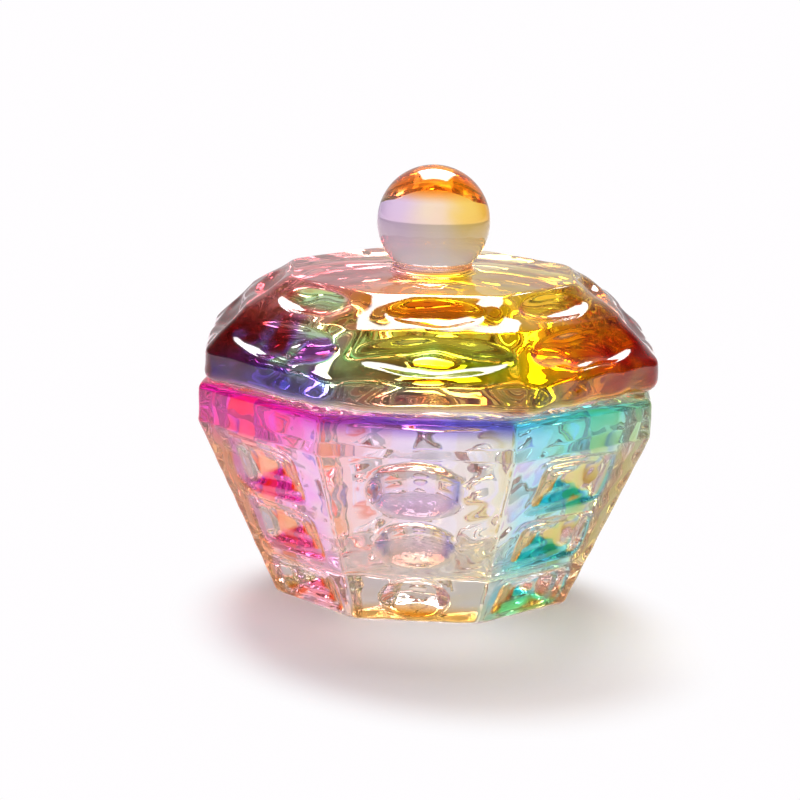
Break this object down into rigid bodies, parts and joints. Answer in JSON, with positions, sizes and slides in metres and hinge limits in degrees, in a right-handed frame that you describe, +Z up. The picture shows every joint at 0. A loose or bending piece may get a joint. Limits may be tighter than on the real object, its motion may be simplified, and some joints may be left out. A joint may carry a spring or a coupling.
{
  "type": "manicure jar",
  "caption": "Small octagonal pressed-glass jar with oval thumbprints and four-sided pointed hollows on alternate faces, a round well and a lift-off faceted lid with a ball knob.",
  "frame": {"origin": "centre of the base, on the surface that the jar stands on", "axes": "+Z up along the axis of the jar and its knob; flat faces of the body look along +X, -X, +Y and -Y, and -Y is the face seen in the picture. These four faces carry the oval thumbprints, and the diagonal faces between them the pointed hollows"},
  "size_m": [0.041, 0.041, 0.0388],
  "materials": {
    "body_glass": "clear fire-polished glass with a sprayed rainbow tint, pink on one side and teal on the other",
    "lid_glass": "clear fire-polished glass with a sprayed rainbow tint, from plum through green and yellow to red"
  },
  "bodies": {
    "body": {"jar_body": "body_glass"},
    "lid": {"lid": "lid_glass"}
  },
  "joints": [
    {"name": "lid_lift", "type": "slide", "parent": "body", "child": "lid", "axis": [0, 0, 1], "range_m": [0, 0.03]}
  ]
}
